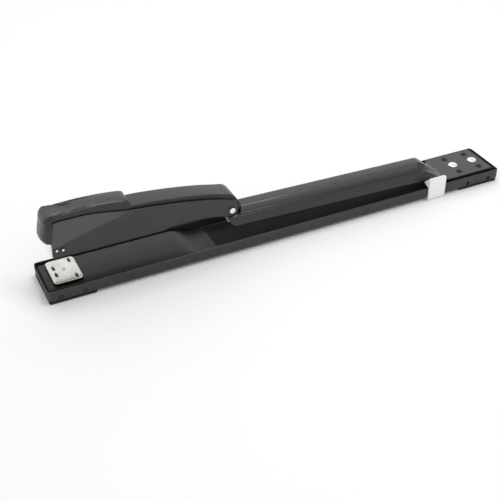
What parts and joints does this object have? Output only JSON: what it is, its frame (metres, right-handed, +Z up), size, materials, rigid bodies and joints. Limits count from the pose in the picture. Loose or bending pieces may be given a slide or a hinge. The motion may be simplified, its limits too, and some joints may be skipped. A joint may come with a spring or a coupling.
{
  "type": "long reach stapler",
  "caption": "Long reach stapler: tray base with rotatable anvil and sliding paper stop, sprung hat-section arm, stapling head with hinged lever and thumb cap.",
  "frame": {"origin": "centre of the base tray's footprint, on the table", "axes": "+X along the tray from the anvil end to the fixed rear end, +Y across, +Z up"},
  "size_m": [0.39, 0.0436, 0.065],
  "materials": {
    "base_paint": "semi-gloss",
    "arm_paint": "semi-gloss",
    "cap_plastic": "matte",
    "foot_plastic": "matte",
    "stop_plastic": "satin",
    "plated_steel": "plated",
    "spring_steel": "satin",
    "dark_screw": "blackened"
  },
  "bodies": {
    "base": {"base_channel": "base_paint", "front_platform": "base_paint", "front_foot": "foot_plastic", "rear_foot": "foot_plastic", "rear_bracket": "spring_steel", "arm_tongue": "arm_paint", "tongue_rivet_front": "plated_steel", "tongue_rivet_rear": "plated_steel", "tongue_screw_1": "dark_screw", "tongue_screw_2": "dark_screw", "tongue_screw_3": "dark_screw", "tongue_screw_4": "dark_screw", "anvil_spring": "spring_steel"},
    "anvil": {"anvil_plate": "plated_steel", "anvil_stem": "plated_steel"},
    "arm": {"long_arm": "arm_paint", "hinge_bracket": "spring_steel", "head_housing": "arm_paint", "nose_plate": "plated_steel", "housing_rivet_1": "plated_steel", "housing_rivet_2": "plated_steel", "housing_rivet_3": "plated_steel", "housing_rivet_4": "plated_steel", "magazine": "spring_steel", "staple_strip": "plated_steel", "follower_spring": "spring_steel", "guide_rod": "spring_steel", "pivot_pin": "plated_steel", "return_spring": "spring_steel"},
    "follower": {"follower": "spring_steel"},
    "lever": {"lever": "arm_paint", "driver_blade": "plated_steel", "cap": "cap_plastic"},
    "paper_stop": {"paper_stop": "stop_plastic"}
  },
  "joints": [
    {"name": "arm_press", "type": "hinge", "parent": "base", "child": "arm", "pos_m": [0.1487, 0, 0.0113], "axis": [0, 1, 0], "range_deg": [-2.95, 0], "stiffness_Nm_per_rad": 50, "springref_deg": 1.72},
    {"name": "lever_swing", "type": "hinge", "parent": "arm", "child": "lever", "pos_m": [-0.048, 0, 0.032], "axis": [0, 1, 0], "range_deg": [-4, 60], "stiffness_Nm_per_rad": 4, "springref_deg": 1.15},
    {"name": "follower_slide", "type": "slide", "parent": "arm", "child": "follower", "axis": [1, 0, 0], "range_m": [0, 0.045], "stiffness_N_per_m": 60, "springref_m": -0.03, "deforming": ["follower_spring"]},
    {"name": "anvil_turn", "type": "hinge", "parent": "base", "child": "anvil", "pos_m": [-0.1775, 0, 0.0125], "axis": [0, 0, 1], "range_deg": [0, 180]},
    {"name": "paper_stop_slide", "type": "slide", "parent": "base", "child": "paper_stop", "axis": [1, 0, 0], "range_m": [-0.2827, 0.0093]}
  ]
}
